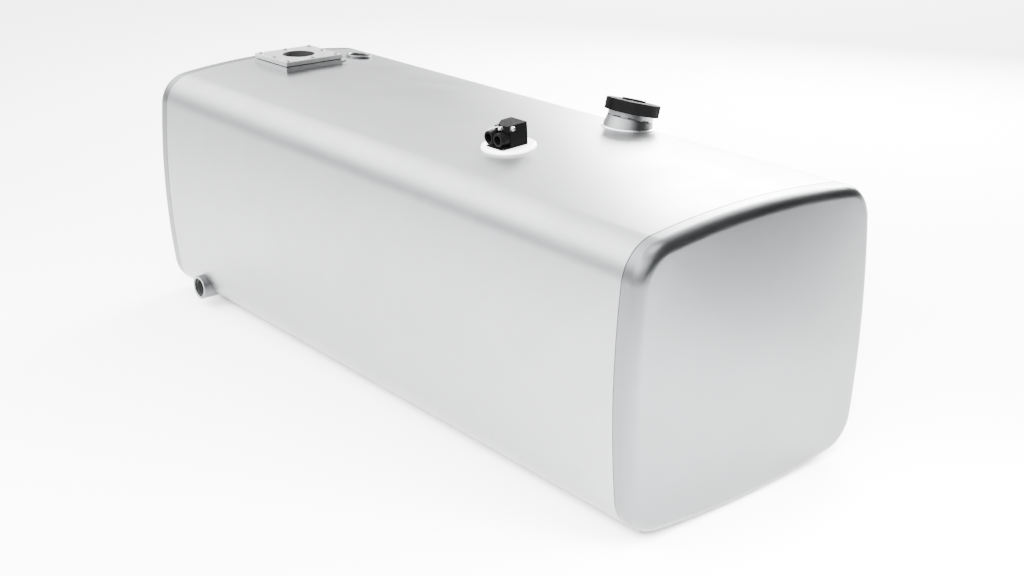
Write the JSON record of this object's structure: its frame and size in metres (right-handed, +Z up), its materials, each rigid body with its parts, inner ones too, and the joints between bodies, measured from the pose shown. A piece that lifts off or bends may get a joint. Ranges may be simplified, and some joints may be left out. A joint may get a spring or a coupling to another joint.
{
  "type": "fresh water tank",
  "caption": "Long aluminium water tank with rounded crowned sides, domed ends, leaning locking filler, level sender with hose ports, bolted access plate, vent bung and side outlet.",
  "frame": {"origin": "middle of the flat strip along the bottom that the tank rests on", "axes": "+X along the tank to its near end (the end nearer the filler), -Y to the long side with the outlet, +Z up"},
  "size_m": [1.8574, 0.6832, 0.6782],
  "materials": {
    "wrapper": "mill finish, satin",
    "ends": "pressed sheet, satin",
    "baffles": "mill finish",
    "fittings": "machined",
    "collar": "machined, polished",
    "plate": "ground",
    "cap": "fine moulded texture",
    "cap_inner": "moulded",
    "housing": "moulded, textured",
    "ports": "moulded",
    "rubber": "matt",
    "float_foam": "closed-cell foam",
    "nickel": "nickel plated",
    "steel": "stainless"
  },
  "bodies": {
    "tank": {"wrapper": "wrapper", "near_end": "ends", "far_end": "ends", "swash_baffle_1": "baffles", "swash_baffle_2": "baffles", "swash_baffle_3": "baffles", "neck_base": "fittings", "neck_collar": "collar", "sender_boss": "fittings", "sender_gasket": "rubber", "sender_plug": "fittings", "sender_housing": "housing", "suction_port": "ports", "return_port": "ports", "front_dome_nut": "nickel", "side_dome_nut": "nickel", "terminal_blade": "nickel", "float_stem": "steel", "lower_stop": "ports", "upper_stop": "ports", "suction_pipe": "steel", "return_pipe": "steel", "access_frame": "fittings", "access_gasket": "rubber", "access_plate": "plate", "access_bolt_1": "steel", "access_bolt_2": "steel", "access_bolt_3": "steel", "access_bolt_4": "steel", "access_bolt_5": "steel", "access_bolt_6": "steel", "access_bolt_7": "steel", "access_bolt_8": "steel", "earth_stud": "steel", "vent_bung": "fittings", "outlet_socket": "fittings"},
    "cap_seal": {"cap_insert": "cap_inner", "cap_gasket": "rubber"},
    "cap": {"cap_grip": "cap", "cover_pin": "steel"},
    "lock_cover": {"lock_cover": "cap"},
    "key_barrel": {"key_barrel": "nickel"},
    "float": {"float": "float_foam"}
  },
  "joints": [
    {"name": "cap_lift_off", "type": "slide", "parent": "tank", "child": "cap_seal", "axis": [0, 0.2554, 0.9668], "range_m": [0, 0.12]},
    {"name": "cap_turn", "type": "hinge", "parent": "cap_seal", "child": "cap", "pos_m": [0.295, 0.24912, 0.66285], "axis": [0, 0.2554, 0.9668], "range_deg": [0, 90]},
    {"name": "lock_cover_swivel", "type": "hinge", "parent": "cap", "child": "lock_cover", "pos_m": [0.30855, 0.26268, 0.65927], "axis": [0, 0.2554, 0.9668], "range_deg": [0, 115]},
    {"name": "key_turn", "type": "hinge", "parent": "cap", "child": "key_barrel", "pos_m": [0.295, 0.24912, 0.66285], "axis": [0, 0.2554, 0.9668], "range_deg": [0, 90]},
    {"name": "float_travel", "type": "slide", "parent": "tank", "child": "float", "axis": [0, -0.0525, 0.9986], "range_m": [0, 0.5028]}
  ]
}
